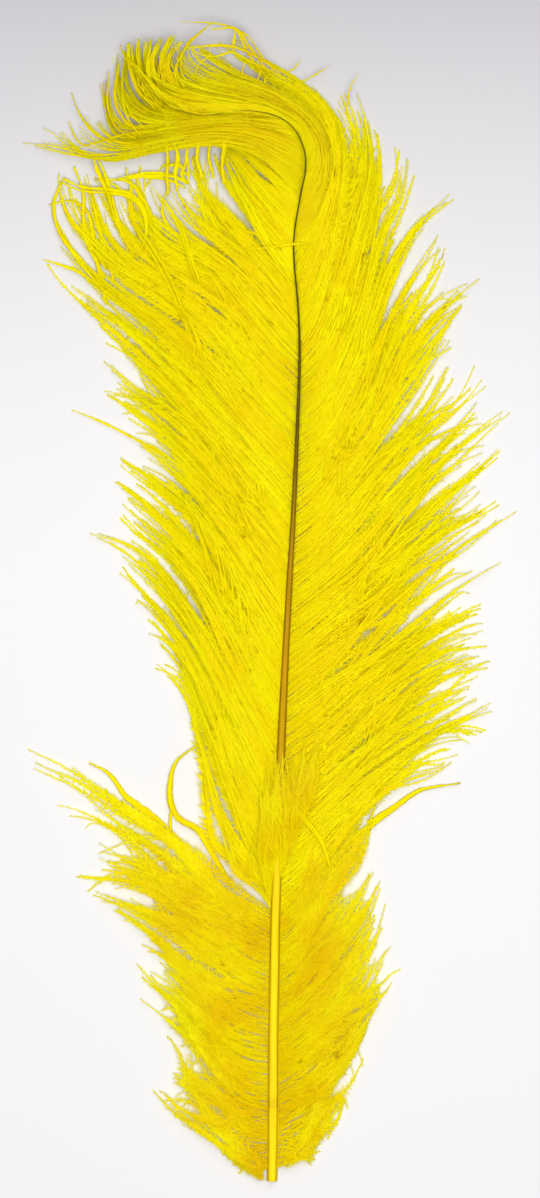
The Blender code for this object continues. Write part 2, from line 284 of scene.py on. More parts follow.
def new_material(name):
    """An empty node material: the material, its tree, its Principled shader and its output."""
    material = bpy.data.materials.new(name)
    material.use_nodes = True
    tree = material.node_tree
    return material, tree, tree.nodes["Principled BSDF"], tree.nodes["Material Output"]


def horn():
    """Dyed horn: yellow at the cut end, ochre and then brown-black towards the top.

    Painted shade darkens its grooves; fine streaks along it and a collar near the cut end are darker.
    """
    material, tree, shader, _ = new_material("dyed_horn")
    along = number(tree, "along")
    around = number(tree, "around")
    lit = Socket.of(tree, "ShaderNodeValToRGB", {"stops": HORN_COLOURS}, {0: along})
    # Painted shade: the grooves take the darker groove colours by the around share, and shade mixes
    # that with the horn's own streaks.
    groove = Socket.of(tree, "ShaderNodeValToRGB", {"stops": GROOVE_SHADE_COLOURS}, {0: along})
    streaks = noise(tree, 900, (1, 0.04, 1)).step(0.35, 0.75)
    shade = around * 0.75 + streaks * 0.25
    collar = along.step(*COLLAR_START) - along.step(*COLLAR_END)
    colour = (shade + collar * 0.2).tint(lit, groove)
    tree.links.new(colour.link, shader.inputs["Base Color"])
    rough = 0.45 + streaks * 0.2
    tree.links.new(rough.link, shader.inputs["Roughness"])
    shader.inputs["Specular IOR Level"].default_value = 0.05
    return material


def quill():
    """A tube whose rings are carried along the quill's route, with two grooves beside its crest.

    Each ring's radius is the quill's, less a share of it in the grooves: a bell curve of the angle
    from the groove's middle. Rims around a shallow hollow close the cut end, and a point the other.
    """
    line = on_quill(np.linspace(0, QUILL_LENGTH, QUILL_RINGS))
    ahead = np.gradient(line[:, :3], axis=0)
    ahead /= np.linalg.norm(ahead, axis=1)[:, None]
    right = np.stack([ahead[:, 1], -ahead[:, 0], 0 * ahead[:, 0]], axis=1)
    right /= np.linalg.norm(right, axis=1)[:, None]
    above = np.cross(right, ahead)
    angle = np.linspace(0, 2 * np.pi, QUILL_SIDES, endpoint=False)
    off_top = np.abs(angle - np.pi / 2)
    dip = np.exp(-(((off_top - GROOVE_ANGLE) / GROOVE_WIDTH) ** 2))
    girth = 1 - GROOVE_DEPTH * dip
    ring = right[:, None] * np.cos(angle)[:, None] + above[:, None] * np.sin(angle)[:, None]
    tube = line[:, None, :3] + ring * (line[:, 3, None] * girth)[..., None]
    rims = [
        line[0, :3] + ring[0] * (line[0, 3] * girth * share)[:, None] + ahead[0] * inward
        for share, inward in CUT_RIMS
    ]
    grid = np.concatenate([np.array(rims), tube[1:]])
    rows = len(grid)
    hollow_middle = grid[0].mean(axis=0)
    point = grid[-1].mean(axis=0) + ahead[-1] * line[-1, 3]
    corners = np.vstack([grid.reshape(-1, 3), hollow_middle, point])
    here = np.arange(QUILL_SIDES)
    beside = (here + 1) % QUILL_SIDES
    last = (rows - 1) * QUILL_SIDES
    middle = np.full(QUILL_SIDES, rows * QUILL_SIDES)
    faces = np.vstack(
        [
            triangles(rows, QUILL_SIDES)[:, ::-1],
            np.stack([middle, beside, here], axis=1),
            np.stack([middle + 1, last + here, last + beside], axis=1),
        ]
    )
    share = np.clip(grid[:, :, 1].mean(axis=1) / QUILL_LENGTH, 0, 1)
    share[len(CUT_RIMS) :] = np.linspace(0, 1, QUILL_RINGS)[1:]
    along = np.append(np.repeat(share, QUILL_SIDES), [0, 1])
    # around is the groove share, which the horn's painted shade follows.
    around = np.append(np.tile(dip, rows), [0, 0])
    piece = make_piece("quill", corners, faces, {"along": along, "around": around}, horn())
    piece.data.polygons.foreach_set("use_smooth", np.ones(len(faces), bool))


quill()

# Lower left barbs
# Short, downy barbs at the left of the quill's base, matted together in locks that point out and
# up. Each barb is a thin stem that grows from the quill, with a soft comb of barbules on both sides.

BARB_POINTS = 26  # along each barb
LOWEST = 0.05  # height of the lowest point of any barb
CORE_SIDES = 4
CORE_HEIGHT = 0.6  # of the core's half width
ROOT_CORE = 0.6  # its half width beside the quill, as a share of the widest
TIP_CORE = 0.4  # and at the tip
FULL_CORE = 0.3  # of a barb's length, from which its core is at its widest
CORE_SIZES = (0.75, 1.25)  # of one barb's core, as a share of the usual
CORE_ROUGHNESS = 0.2  # share by which its width changes from ring to ring, about
TAPER = 0.6  # of a barb's length, from which its core and comb get narrower
COMB_TEETH = 104  # barbules on each side of a barb
ROOT_COMB = 0.3  # how far they stand out beside the quill, as a share of the widest
TIP_COMB = 0.2  # and at the tip
BARE_STEM = 2.0  # beside the quill, with hardly a barbule on it
STUB = 0.05  # how far a barbule stands out there
FULL_COMB = 22.0  # from the root, where the comb is at its widest
BARBULE_SIZES = (0.5, 1.2)  # of one barbule, as a share of the usual
LEAN = (0.6, 1.25)  # of a barbule towards the barb's tip, in radians
SAG = 0.1  # of its reach
OCHRE = (0.62, 0.42, 0.0)  # short marks here and there on a barb
THROUGH = 0.75  # of the light that falls on down

# Single barbs among the locks
ROOT_STRAY = 0.25  # of the spacing, by which a root strays from its place
TO_TUFT = (0.15, 0.75)  # shares of a barb's length between which it joins its tuft
GATHERED = (0.6, 1.0)  # share of the way to its tuft that a barb comes
TO_LOCK = 0.3  # share of its length from which a tuft joins a lock
CAUGHT = (0.5, 1.1)  # times pull, the share of the way to its lock that a tuft comes
SHORTER = (0.2, 1.0)  # times short, the share by which a tuft between two locks is shorter
LYING = (0.5, 1.0)  # height of the lowest barbs
TUFT_SWING = 0.8  # of sway and lift
TUFT_WAVES = (0.6, 2.2)  # half waves in a barb's length
BARB_SWING = 0.5
BARB_WAVES = (0.8, 4.0)
FAR_SWINGS = 2.5  # degrees of freedom of the swings' Student's t: the fewer, the more swing far
FARTHEST_SWING = 5  # times the usual

# Each row is one lock: its place along the quill, then the points its middle runs through, in
# millimetres from the cut end
LEFT_SKIRT = (
    (4, (-4, 5.5), (-8, 6.5), (-12, 7.5), (-17, 8.5)),
    (7, (-5, 8), (-10, 9.5), (-15, 11), (-21, 14)),
    (11, (-7, 12), (-14, 15), (-22, 19), (-30, 22.5), (-42, 26)),
    (17, (-8, 18), (-16, 22), (-24, 27), (-32, 31), (-42, 36)),
    (23, (-8, 25), (-16, 28), (-25, 34), (-34, 40), (-46, 48)),
    (30, (-8, 31), (-17, 35), (-24, 41), (-31, 47), (-39, 51)),
    (37, (-8, 38), (-17, 41), (-25, 48), (-33, 56), (-40, 61), (-50, 65)),
    (45, (-8, 46), (-18, 50), (-26, 57), (-33, 65), (-40, 70), (-49, 76)),
    (53, (-9, 56), (-19, 61), (-28, 68), (-36, 75), (-44, 79)),
    (61, (-9, 65), (-20, 70), (-31, 78), (-42, 86), (-52, 92), (-60, 96)),
    (69, (-9, 73), (-20, 80), (-32, 88), (-44, 94), (-56, 99), (-67, 103)),
    (76, (-9, 81), (-20, 88), (-32, 96), (-44, 102), (-56, 105), (-70, 107)),
    (83, (-9, 88), (-20, 95), (-32, 103), (-45, 109), (-58, 112), (-71, 117)),
    (89, (-8, 94), (-19, 102), (-31, 110), (-44, 117), (-57, 121), (-72, 124)),
    (94, (-7, 99), (-17, 105), (-29, 114), (-43, 121), (-57, 127), (-70, 131), (-79, 134.5)),
)


def lock_routes(rows, arch, tips):
    """Places along the quill and the routes of the given locks, each of evenly spaced points.

    A lock falls softly from the quill to its tip's height, which it has a little before its end.
    Half a sine wave of the height arch is added to that fall.
    """
    share = np.linspace(0, 1, BARB_POINTS)
    places = np.array([row[0] for row in rows], float)
    roots = on_quill(places)
    fallen_at = 1 / 1.1
    fallen = blend(share, end=fallen_at)
    routes = []
    for i, (_, *points) in enumerate(rows):
        plan, _ = smooth_route([roots[i, :2], *points], BARB_POINTS)
        root = roots[i, 2]
        height = root + (tips[i % len(tips)] - root) * fallen + arch * np.sin(np.pi * share)
        routes.append(np.column_stack([plan, height]))
    return places, np.array(routes)


def between(places, routes, at):
    """Points on the routes at the places asked for, mixed from the two given routes beside each.

    There is a place for each barb and each of its points. Past the first or last given route it
    goes on by the same steps.
    """
    inside = np.clip(at, places[0], places[-1])
    gap = (places[-1] - places[0]) / (len(places) - 1)
    spot = np.interp(inside, places, np.arange(len(places))) + (at - inside) / gap
    low = np.clip(spot.astype(int), 0, len(places) - 2)
    part = (spot - low)[..., None]
    point = np.arange(BARB_POINTS)
    return routes[low, point] * (1 - part) + routes[low + 1, point] * part


def sideways(routes):
    """Level unit vectors across each route, to its left."""
    ahead = np.gradient(routes, axis=1)
    left = np.stack([-ahead[..., 1], ahead[..., 0]], axis=-1)
    left /= np.linalg.norm(left, axis=-1, keepdims=True) + 1e-9
    return np.concatenate([left, np.zeros_like(left[..., :1])], axis=-1)


def cut_short(routes, reach):
    """The first part of each route, of the share reach, with as many points as before."""
    spot = np.linspace(0, 1, BARB_POINTS)[None, :] * reach[:, None] * (BARB_POINTS - 1)
    low = np.minimum(spot.astype(int), BARB_POINTS - 2)
    part = (spot - low)[..., None]
    which = np.arange(len(routes))[:, None]
    return routes[which, low] * (1 - part) + routes[which, low + 1] * part


def grow_barbs(rows, draw, arch, tips, spacing, tuft, pull, short, sway, lift):
    """Routes of the barbs among the given locks, and the tuft that each is in.

    Each barb has a place along the quill at its root, spacing apart. Further out the place moves
    softly to the middle of its tuft, which takes up a stretch of the quill within the range tuft,
    and, by the share pull, to the nearest lock. The barb runs where the locks say for that place.
    Tufts between two locks end short of them by up to the share short. Tufts and single barbs
    swing sideways by slow sine waves of about sway, a few of them several times as far, and lie
    higher or lower by about lift.
    """
    places, routes = lock_routes(rows, arch, tips)
    low, high = places[0], places[-1]
    at = np.arange(low, high, spacing)
    at += draw.uniform(-ROOT_STRAY, ROOT_STRAY, len(at)) * spacing
    edges = low + np.cumsum(draw.uniform(*tuft, int((high - low) / tuft[0]) + 2))
    edges = np.insert(edges, 0, low)
    group = np.clip(np.searchsorted(edges, at, side="right") - 1, 0, len(edges) - 2)
    middles = np.clip((edges[:-1] + edges[1:]) / 2, low, high)
    locks = places[np.abs(middles[:, None] - places[None, :]).argmin(axis=1)]
    half_gap = (high - low) / (len(places) - 1) / 2
    apart = np.clip(np.abs(middles - locks) / half_gap, 0, 1)
    share = np.linspace(0, 1, BARB_POINTS)
    to_tuft = draw.uniform(*GATHERED, (len(at), 1)) * blend(share, *TO_TUFT)
    to_lock = pull * draw.uniform(*CAUGHT, (len(middles), 1))[group] * blend(share, TO_LOCK)
    place = (
        at[:, None]
        + (middles[group] - at)[:, None] * to_tuft
        + (locks - middles)[group, None] * to_lock
    )

    # How many swing, the one that each barb swings with, how far, and in how many half waves
    tufts = (len(middles), group, TUFT_SWING, TUFT_WAVES)
    singles = (len(at), np.arange(len(at)), BARB_SWING, BARB_WAVES)
    rise = 0.0
    for owners, which, amount, half_waves in (tufts, singles):
        waves = draw.uniform(*half_waves, (owners, 1))[which]
        start = draw.uniform(0, 2 * np.pi, (owners, 1))[which]
        swing = np.clip(draw.standard_t(FAR_SWINGS, (owners, 1)), -FARTHEST_SWING, FARTHEST_SWING)
        across = amount * swing[which] * sway
        height = draw.normal(0, amount, (owners, 1))[which] * lift
        wave = np.sin(waves * np.pi * share + start) - np.sin(start)
        place += across * wave * blend(share, end=0.5)
        rise = rise + height * (0.6 + 0.4 * wave) * blend(share, end=0.6)
    barbs = between(places, routes, place)
    barbs[..., 2] = np.maximum(barbs[..., 2] + rise, draw.uniform(*LYING, (len(at), 1)))
    reach = 1 - short * apart * draw.uniform(*SHORTER, len(middles))
    reach = reach[group] * (1 - short * draw.random(len(at)) ** 2)
    return cut_short(barbs, reach), group


def core_tubes(routes, draw, core):
    """Corners of all cores, faces of one, and how far along and how near its edge a point is.

    A core is a low four-sided tube. Its half width is core, less beside the quill and towards the
    tip, times random shares.
    """
    share = np.linspace(0, 1, BARB_POINTS)
    left = sideways(routes)
    widening = ROOT_CORE + (1 - ROOT_CORE) * blend(share, end=FULL_CORE)
    width = core * widening * (1 - (1 - TIP_CORE) * blend(share, TAPER))
    width = width * draw.uniform(*CORE_SIZES, (len(routes), 1))
    width = width * (1 + CORE_ROUGHNESS * draw.normal(0, 1, width.shape) * (share < 1))
    angle = np.pi / 2 + np.arange(CORE_SIDES) * 2 * np.pi / CORE_SIDES
    rings = (
        routes[:, :, None]
        + left[:, :, None] * (np.cos(angle)[:, None] * width[..., None, None])
        + np.array([0, 0, CORE_HEIGHT]) * (np.sin(angle)[:, None] * width[..., None, None])
    )
    rings[..., 2] = np.maximum(rings[..., 2], LOWEST)
    last = (BARB_POINTS - 1) * CORE_SIDES
    fan = np.arange(1, CORE_SIDES - 1)
    ends = [(0, k, k + 1) for k in fan] + [(last, last + k + 1, last + k) for k in fan]
    faces = np.vstack([triangles(BARB_POINTS, CORE_SIDES)[:, ::-1], ends])
    along = np.repeat(share, CORE_SIDES)
    # edge is 0 on a core's crest and 1 underneath: the down's painted shade follows it.
    edge = np.tile(0.5 - 0.5 * np.sin(angle), BARB_POINTS)
    return rings.reshape(len(routes), -1, 3), faces, along, edge


def combs(routes, draw, comb, fluff):
    """Corners of all combs, faces of one, and how far along and how near its edge a point is.

    A comb is a row of flat, pointed barbules on each side of a barb. Each stands on two
    neighbouring points of the barb's middle line and leans forward along it. It is comb long, times
    random shares, shorter beside the quill and towards the barb's tip, and stands up or hangs down
    by about fluff.
    """
    spot = np.linspace(0, 1, COMB_TEETH + 1) * (BARB_POINTS - 1)
    low = np.minimum(spot.astype(int), BARB_POINTS - 2)
    part = (spot - low)[None, :, None]
    axis = routes[:, low] * (1 - part) + routes[:, low + 1] * part
    axis_left = sideways(axis)
    ahead = np.diff(axis, axis=1)
    run = np.linalg.norm(ahead, axis=2)
    ahead /= run[..., None] + 1e-9
    from_root = np.cumsum(run, axis=1)
    share = (np.arange(COMB_TEETH) + 0.5) / COMB_TEETH
    widening = ROOT_COMB + (1 - ROOT_COMB) * blend(from_root, BARE_STEM, FULL_COMB)
    reach = comb * widening * (1 - (1 - TIP_COMB) * blend(share, TAPER))
    reach = np.where(from_root < BARE_STEM, STUB, reach)
    middle = (axis[:, 1:] + axis[:, :-1]) / 2
    tips = []
    for side in (1, -1):
        long = (reach * draw.uniform(*BARBULE_SIZES, reach.shape))[..., None]
        lean = draw.uniform(*LEAN, reach.shape)[..., None]
        up = draw.normal(0, fluff, reach.shape) - SAG * reach
        tip = middle + side * axis_left[:, 1:] * long * np.cos(lean) + ahead * long * np.sin(lean)
        tip[..., 2] = np.maximum(tip[..., 2] + up, LOWEST)
        tips.append(tip)
    corners = np.concatenate([axis, *tips], axis=1)
    tooth = np.arange(COMB_TEETH)
    first_tip = COMB_TEETH + 1
    faces = np.vstack(
        [
            np.stack([tooth, tooth + 1, first_tip + tooth], axis=1),
            np.stack([tooth + 1, tooth, first_tip + COMB_TEETH + tooth], axis=1),
        ]
    )
    along = np.concatenate([np.linspace(0, 1, COMB_TEETH + 1), share, share])
    # edge is 0.5 on the middle line and 1 at the barbules' tips, where the down's painted shade is
    # deepest.
    edge = np.concatenate([np.full(COMB_TEETH + 1, 0.5), np.ones(2 * COMB_TEETH)])
    return corners, faces, along, edge


def barbs_piece(name, routes, group, draw, core, comb, fluff, material):
    """A piece of barbs along the given routes: all their cores, shaded smooth, then all combs."""
    many = len(routes)
    parts = (core_tubes(routes, draw, core), combs(routes, draw, comb, fluff))
    tone = draw.random(many)
    tuft = draw.random(group.max() + 1)[group]
    corners = []
    faces = []
    numbers = {"along": [], "edge": [], "tone": [], "tuft": []}
    made = 0
    for points, one_barb, along, edge in parts:
        size = points.shape[1]
        firsts = made + np.arange(many)[:, None, None] * size
        corners.append(points.reshape(-1, 3))
        faces.append((one_barb + firsts).reshape(-1, 3))
        numbers["along"].append(np.tile(along, many))
        numbers["edge"].append(np.tile(edge, many))
        numbers["tone"].append(np.repeat(tone, size))
        numbers["tuft"].append(np.repeat(tuft, size))
        made += many * size
    joined = {key: np.concatenate(values) for key, values in numbers.items()}
    piece = make_piece(name, np.vstack(corners), np.vstack(faces), joined, material)
    smooth = np.repeat([True, False], [len(faces[0]), len(faces[1])])
    piece.data.polygons.foreach_set("use_smooth", smooth)


def noise_of(tree, x, y, z):
    """Noise read at the point (x, y, z), of numbers that the mesh carries."""
    point = Socket.of(tree, "ShaderNodeCombineXYZ", None, {0: x, 1: y, 2: z})
    return Socket.of(tree, "ShaderNodeTexNoise", None, {"Vector": point, "Scale": 1.0})


def dyed_down(name, bright, deep, tip, clouds):
    """Soft barbs soaked in yellow dye, paler and greener at the tips, and with painted shade low down.

    How deep the colour is adds up from the barb's own tone, its tuft's, fine flecks and soft clouds by
    the share given, and painted shade on the barb's sides and underside and at its barbules' tips.
    Short ochre marks lie here and there on a barb.
    Most of the light goes through, as it does in down.
    """
    material, tree, shader, output = new_material(name)
    along = number(tree, "along")
    edge = number(tree, "edge")
    tone = number(tree, "tone")
    tuft = number(tree, "tuft")
    cloud = noise(tree, 60).step(0.35, 0.65)
    fleck = noise_of(tree, along * 30, tone * 90, edge).step(0.4, 0.7)
    # Short ochre marks here and there on a barb, placed by noise.
    ochre_marks = noise_of(tree, along * 9, tone * 400, tuft * 50).step(0.71, 0.77)
    # The edge share adds painted shade: deeper on each barb's sides and underside and at its barbules'
    # tips.
    random_tone_and_painted_shade = tone * 0.12 + tuft * 0.28 + cloud * clouds + fleck * 0.18 + edge * 0.2
    outer = along.step(0.45, 1.0) * 0.6
    clean = outer.tint(random_tone_and_painted_shade.tint(bright, deep), tip)
    colour = (ochre_marks * 0.8).tint(clean, OCHRE)
    tree.links.new(colour.link, shader.inputs["Base Color"])
    shader.inputs["Roughness"].default_value = 0.5
    shader.inputs["Specular IOR Level"].default_value = 0.1
    glow = Socket.of(tree, "ShaderNodeBsdfTranslucent", None, {"Color": colour})
    matt = Socket(tree, shader.outputs[0])
    both = Socket.of(tree, "ShaderNodeMixShader", None, {0: THROUGH, 1: matt, 2: glow})
    tree.links.new(both.link, output.inputs["Surface"])
    return material


matted_down = dyed_down(
    "dyed_matted_down",
    bright=(0.985, 0.97, 0.0),
    deep=(0.94, 0.77, 0.0),
    tip=(0.95, 0.94, 0.01),
    clouds=0.4,
)

# How the lower barbs lie and how thick they are, on top and in the layer under it
SKIRT_LIE = dict(
    arch=3.5, tips=(0.4, 1.6), spacing=0.62, tuft=(2.0, 7.0), pull=0.85, short=0.45, sway=4.2, lift=1.6
)
SKIRT_UNDER_LIE = dict(
    arch=2.5, tips=(0.4, 1.0), spacing=1.2, tuft=(3.0, 7.0), pull=0.2, short=0.4, sway=3.0, lift=1.0
)
SKIRT_BARB = dict(core=0.22, comb=3.2, fluff=0.4, material=matted_down)
SKIRT_UNDER_BARB = dict(core=0.35, comb=4.5, fluff=0.45, material=matted_down)

draw = np.random.default_rng(11)
routes, group = grow_barbs(LEFT_SKIRT, draw, **SKIRT_LIE)
barbs_piece("left_skirt_barbs", routes, group, draw, **SKIRT_BARB)
routes, group = grow_barbs(LEFT_SKIRT, draw, **SKIRT_UNDER_LIE)
barbs_piece("left_skirt_under_barbs", routes, group, draw, **SKIRT_UNDER_BARB)

# Upper left barbs
# The long vane at the left: barbs that leave the quill steeply, fan out and end in loose locks.
# Near the quill they lie as they grew, and a few tufts have slipped and climb across the others.

LEFT_VANE = (
    (98, (-4, 103), (-12, 114), (-18, 126), (-21.5, 139), (-25, 153), (-30, 168), (-37, 177),
     (-45, 183)),
    (104, (-4, 111), (-11, 123), (-17, 137), (-22, 152), (-27, 168), (-33, 180), (-43, 190)),
    (116, (-3, 124), (-10, 137), (-16, 151), (-21, 165), (-28, 179), (-35, 190), (-45, 201),
     (-57, 211)),
    (128, (-3, 137), (-10, 151), (-17, 166), (-24, 180), (-31, 191), (-38, 201), (-45, 209),
     (-51, 218)),
    (142, (-3, 151), (-11, 166), (-19, 181), (-27, 196), (-35, 209), (-45, 219), (-55, 224),
     (-65, 227)),
    (156, (-2, 165), (-10, 180), (-18, 195), (-27, 209), (-36, 219), (-45, 226), (-53, 236)),
    (170, (-2, 179), (-10, 193), (-19, 208), (-28, 221), (-37, 231), (-46, 239), (-56, 245.5)),
    (184, (-1, 193), (-10, 207), (-19, 221), (-28, 233), (-37, 242), (-46, 249), (-56, 255)),
    (197, (0, 206), (-9, 219), (-18, 232), (-27, 243), (-37, 252), (-46, 258), (-53, 263)),
    (208, (0, 217), (-9, 229), (-18, 241), (-27, 252), (-37, 260), (-47, 267), (-55, 273),
     (-62, 279)),
    (220, (1, 229), (-8, 240), (-17, 251), (-26, 262), (-35, 272), (-43, 281), (-50, 289),
     (-58.5, 296)),
    (235, (1, 243), (-8, 253), (-18, 264), (-28, 275), (-39, 286), (-51, 297), (-65, 307),
     (-75, 315), (-82, 326)),
    (250, (1, 258), (-8, 267), (-18, 278), (-28, 288), (-38, 297), (-48, 304), (-58, 311),
     (-68, 320), (-77, 332)),
    (262, (1, 270), (-8, 280), (-18, 290), (-29, 299), (-40, 306), (-51, 313), (-62, 323),
     (-71, 335), (-75, 350)),
    (272, (1, 280), (-8, 290), (-18, 300), (-29, 308), (-40, 314), (-51, 321), (-60, 332),
     (-65, 344), (-69, 355)),
    (281, (1, 289), (-8, 299), (-18, 308), (-29, 315), (-40, 320), (-49, 328), (-55, 339),
     (-61, 355)),
    (290, (1, 299), (-8, 309), (-17, 317), (-27, 323), (-37, 329), (-44, 337), (-50, 346),
     (-60, 350)),
    (298, (1, 308), (-7, 317), (-16, 326), (-24, 333), (-31, 341), (-35, 349), (-36, 359)),
    (307, (1, 316), (-6, 324), (-14, 333), (-21, 341), (-27, 349), (-30, 358)),
    (316, (1, 324), (-5, 332), (-11, 340), (-17, 348), (-20, 355), (-21, 361)),
)
dyed_barbs = dyed_down(
    "dyed_barbs_soft",
    bright=(0.99, 0.975, 0.0),
    deep=(0.98, 0.85, 0.0),
    tip=(0.96, 0.94, 0.004),
    clouds=0.2,
)

# How the long barbs of both vanes lie and how thick they are, on top, under it and across
VANE_LIE = dict(arch=3.0, spacing=0.72, tuft=(2.0, 6.5), pull=0.85, short=0.3, sway=2.2, lift=1.1)
VANE_UNDER_LIE = dict(arch=1.5, spacing=1.25, tuft=(4.0, 9.0), pull=0.2, short=0.3, sway=2.5, lift=1.0)
VANE_BARB = dict(core=0.34, comb=2.2, fluff=0.25, material=dyed_barbs)
VANE_UNDER_BARB = dict(core=0.4, comb=4.2, fluff=0.3, material=dyed_barbs)
CLIMBING_BARB = dict(core=0.34, comb=1.6, fluff=0.25, material=dyed_barbs)
CLIMB_TURN = (0.3, 0.9)  # of the angle from the lock to the quill
CLIMB_LENGTH = (28, 52)
CLIMB_HEIGHT = 1.0  # over its lock, at a tuft's start
CLIMB_APART = 1.6  # from a tuft's middle at its start, about
LOOSE_WAVES = (0.8, 3.0)  # half waves in the length of a barb that lies loose
MEETING = 0.8  # share of the way to its bundle's middle that a barb comes by its end


def climbing_barbs(rows, draw, arch, tips, tufts, in_each):
    """Routes of barbs in tufts that climb across the lie of a vane, and the tuft that each is in.

    A tuft starts on a lock, at a random share of its length. Its angle is the lock's own, turned
    part of the way to the quill's and then half of the way back, and each step adds the cosine
    and sine of that angle. Barbs of a tuft start apart and meet at its end.
    """
    places, locks = lock_routes(rows, arch, tips)
    share = np.linspace(0, 1, BARB_POINTS)
    lock = draw.integers(0, len(places), tufts)
    first = draw.integers(BARB_POINTS // 8, BARB_POINTS // 2, tufts)
    start = locks[lock, first]
    ahead = locks[lock, first + 1] - start
    own = np.arctan2(ahead[:, 1], ahead[:, 0])[:, None]
    turned = (np.pi / 2 - own) * draw.uniform(*CLIMB_TURN, (tufts, 1))
    angle = own + turned * (1 - 0.5 * blend(share))
    step = draw.uniform(*CLIMB_LENGTH, (tufts, 1)) / (BARB_POINTS - 1)
    middle = np.stack([np.cos(angle), np.sin(angle), 0 * angle], axis=-1) * step[..., None]
    middle = start[:, None] + np.cumsum(middle, axis=1)
    middle[..., 2] = start[:, 2, None] * (1 - 0.5 * share) + CLIMB_HEIGHT
    group = np.repeat(np.arange(tufts), in_each)
    barbs = middle[group]
    apart = draw.normal(0, CLIMB_APART, (len(group), 1)) * (1 - MEETING * share)
    waves = draw.uniform(*LOOSE_WAVES, (len(group), 1)) * np.pi * share
    apart = apart + draw.normal(0, 0.5, (len(group), 1)) * np.sin(waves)
    barbs += sideways(barbs) * apart[..., None]
    barbs[..., 2] += draw.normal(0, 0.4, (len(group), 1)) * share
    return cut_short(barbs, draw.uniform(0.6, 1.0, len(group))), group


draw = np.random.default_rng(12)
routes, group = grow_barbs(LEFT_VANE, draw, tips=(0.4, 2.0, 1.0), **VANE_LIE)
barbs_piece("left_vane_barbs", routes, group, draw, **VANE_BARB)
routes, group = grow_barbs(LEFT_VANE, draw, tips=(0.4, 0.9, 0.6), **VANE_UNDER_LIE)
barbs_piece("left_vane_under_barbs", routes, group, draw, **VANE_UNDER_BARB)
routes, group = climbing_barbs(
    LEFT_VANE[2:16], draw, arch=3.0, tips=(0.4, 2.0, 1.0), tufts=16, in_each=4
)
barbs_piece("left_climbing_barbs", routes, group, draw, **CLIMBING_BARB)

# The smooth barbs just inside the hook, which lie close together.
LEFT_INNER = (
    (316, (1, 324), (-5, 332), (-11, 340), (-17, 348), (-20, 355), (-21, 361)),
    (325, (2, 332), (-5, 340), (-10, 347), (-13, 354), (-18, 361)),
    (333, (3, 339), (-4, 347), (-9, 354), (-16, 361), (-25, 364)),
    (343, (4, 349), (-4, 356), (-10, 360), (-17, 363), (-27, 364)),
)
draw = np.random.default_rng(13)
routes, group = grow_barbs(
    LEFT_INNER, draw, arch=0.5, tips=(2.0,), spacing=0.3, tuft=(1.6, 5.0), pull=0.35, short=0.2,
    sway=0.8, lift=0.5
)
barbs_piece(
    "left_inner_barbs", routes, group, draw, core=0.34, comb=2.2, fluff=0.15, material=dyed_barbs
)

# Barbs that came loose at the upper left and curl over one another, single or two or three
# together, and those that climb from the vane to the band above it. Each row is one bundle: the
# heights of its start and end, its number of barbs, and the points that its middle runs through.
LEFT_LOOPS = (
    (3.0, 1.5, 2, (-58, 306), (-60, 316), (-62, 328), (-64, 338), (-70, 342.5), (-78, 341)),
    (3.0, 1.5, 2, (-58, 318), (-65, 328), (-71, 336), (-74, 345), (-74.5, 352)),
    (3.5, 2.0, 2, (-60, 312), (-69, 323), (-75, 333), (-76.5, 342), (-73.5, 349.5)),
    (4.0, 5.0, 2, (-73, 350), (-66, 347), (-57, 346), (-49, 344), (-44.5, 338), (-44, 330), (-47, 322)),
    (3.0, 2.0, 2, (-58, 314), (-62, 324), (-65, 335), (-66, 346), (-69, 354.5)),
    (3.0, 2.0, 3, (-55, 314), (-58, 324), (-61, 335), (-64, 347)),
    (3.0, 3.0, 2, (-42, 318), (-45, 328), (-49, 338), (-49, 347), (-51, 354)),
    (3.0, 3.0, 3, (-48, 322), (-53, 333), (-56, 344), (-58, 351), (-61, 357)),
    (3.5, 3.0, 3, (-24, 320), (-33, 325), (-40, 332), (-44, 341), (-50, 349), (-62, 349.5)),
    (4.0, 3.0, 2, (-22, 322), (-31, 328), (-37, 334), (-38.5, 341), (-36, 348)),
    (3.5, 3.0, 2, (-30, 321), (-37, 326), (-42, 333), (-45, 342), (-51, 352)),
    (2.0, 1.0, 1, (-62, 312), (-68, 317), (-74, 320), (-80, 322)),
    (5.0, 9.0, 3, (-36, 344), (-36.5, 350), (-36, 356), (-37, 362)),
    (5.0, 9.0, 2, (-33, 346), (-34, 352), (-33, 358), (-35, 363)),
    (5.0, 9.0, 2, (-29, 348), (-30, 354), (-29, 360)),
    (5.0, 9.0, 2, (-24, 350), (-26, 356), (-25, 364)),
    (6.0, 10.0, 3, (-17, 348), (-17.5, 355), (-17, 361), (-18, 366)),
    (6.0, 9.0, 2, (-20, 350), (-22, 357), (-21, 363)),
    (5.0, 5.0, 3, (-30, 347), (-36, 350), (-45, 351), (-54, 349.5)),
    (5.0, 6.0, 2, (-28, 352), (-32, 355), (-38, 354.5)),
    (8.0, 3.0, 2, (-62, 357), (-60, 351), (-57, 344), (-55, 336)),
    (2.0, 1.0, 1, (-36, 254), (-45, 259), (-57, 264.5), (-70, 269.5)),
)


